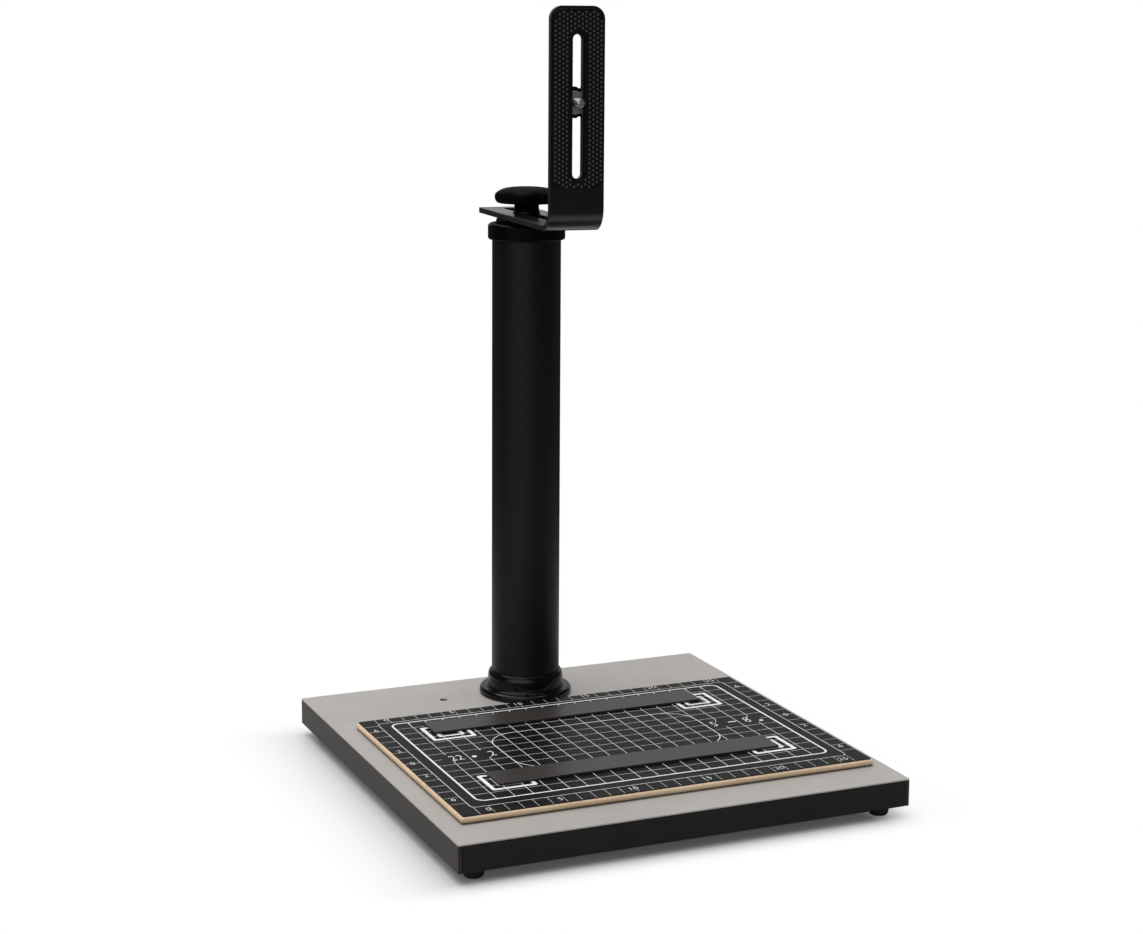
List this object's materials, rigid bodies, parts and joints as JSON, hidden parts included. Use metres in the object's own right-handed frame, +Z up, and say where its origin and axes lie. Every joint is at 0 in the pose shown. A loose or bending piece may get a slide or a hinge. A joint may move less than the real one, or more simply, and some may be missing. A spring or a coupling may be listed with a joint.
{
  "type": "copy stand",
  "caption": "Tabletop copy stand: laminated base, loose gridded magnetic board, round column and a slotted bent arm that slides and swivels under a lobed knob to hold a camera.",
  "frame": {"origin": "on the floor under the middle of the whole outline, at the bottom of the feet; the middle of the base is 7 mm in front of it, because the tail of the bar stands out 14 mm behind the base", "axes": "+Z up along the column, +X to the right along the base's short side, +Y to the back, where the column stands; the camera arm reaches towards -Y, turned 5.03 degrees"},
  "size_m": [0.325, 0.346, 0.5402],
  "materials": {
    "laminate": "satin grey laminate",
    "chipboard": "raw chipboard",
    "backer": "plain matt backer",
    "edging": "satin black edging",
    "foot_rubber": "moulded black rubber",
    "zinc_steel": "bright zinc plate",
    "plug_aluminium": "turned",
    "column_paint": "satin black",
    "flange_gloss": "glossy black",
    "cap_plastic": "satin black moulding",
    "insert_brass": "turned",
    "bracket_paint": "satin black",
    "pad_rubber": "dotted black rubber",
    "knob_plastic": "satin black moulding",
    "fibreboard": "sealed fibreboard edge",
    "printed_sheet": "black sheet with white grid and numbers",
    "magnet_strip": "satin dark grey magnetic sheet"
  },
  "bodies": {
    "base": {"top_laminate": "laminate", "base_core": "chipboard", "bottom_laminate": "backer", "edge_strip_left": "edging", "edge_strip_right": "edging", "edge_strip_front": "edging", "edge_strip_back": "edging", "foot_front_left": "foot_rubber", "foot_front_right": "foot_rubber", "foot_back_left": "foot_rubber", "foot_back_right": "foot_rubber", "foot_screw_front_left": "zinc_steel", "foot_screw_front_right": "zinc_steel", "foot_screw_back_left": "zinc_steel", "foot_screw_back_right": "zinc_steel", "column_bolt": "zinc_steel", "bolt_washer": "zinc_steel", "foot_plug": "plug_aluminium", "column_tube": "column_paint", "column_flange": "flange_gloss", "column_cap": "cap_plastic", "stud_insert": "insert_brass"},
    "swivel": {"guide_disc": "cap_plastic"},
    "arm": {"l_bracket": "bracket_paint", "rubber_pad": "pad_rubber"},
    "clamp_lift": {"clamp_washer": "zinc_steel"},
    "clamp": {"clamp_knob": "knob_plastic", "clamp_stud": "zinc_steel"},
    "camera_shift": {"camera_washer": "zinc_steel"},
    "camera_screw": {"camera_knob": "knob_plastic", "camera_stud": "zinc_steel"},
    "board": {"board_core": "fibreboard", "board_sheet": "printed_sheet"},
    "strip_back": {"magnetic_strip_back": "magnet_strip"},
    "strip_front": {"magnetic_strip_front": "magnet_strip"}
  },
  "joints": [
    {"name": "arm_swivel", "type": "hinge", "parent": "base", "child": "swivel", "pos_m": [0, 0.113, 0.3846], "axis": [0, 0, 1], "continuous": true},
    {"name": "arm_slide", "type": "slide", "parent": "swivel", "child": "arm", "axis": [-0.0877, -0.9961, 0], "range_m": [-0.074, 0.038]},
    {"name": "knob_lift", "type": "slide", "parent": "base", "child": "clamp_lift", "axis": [0, 0, 1], "range_m": [0, 0.0025]},
    {"name": "knob_turn", "type": "hinge", "parent": "clamp_lift", "child": "clamp", "pos_m": [0, 0.113, 0.4], "axis": [0, 0, 1], "range_deg": [0, 722]},
    {"name": "camera_slide", "type": "slide", "parent": "arm", "child": "camera_shift", "axis": [0, 0, 1], "range_m": [-0.048, 0.043]},
    {"name": "camera_turn", "type": "hinge", "parent": "camera_shift", "child": "camera_screw", "pos_m": [-0.0092, 0.00842, 0.4747], "axis": [-0.0877, -0.9961, 0], "continuous": true},
    {"name": "board_lift", "type": "slide", "parent": "base", "child": "board", "axis": [0, 0, 1], "range_m": [0, 0.06]},
    {"name": "strip_back_slide", "type": "slide", "parent": "board", "child": "strip_back", "axis": [0, 1, 0], "range_m": [-0.045, 0.02]},
    {"name": "strip_front_slide", "type": "slide", "parent": "board", "child": "strip_front", "axis": [0, -1, 0], "range_m": [-0.045, 0.04]}
  ],
  "couplings": [
    {"joint": "knob_turn", "follows": "knob_lift", "rad_per_m": 5026}
  ]
}
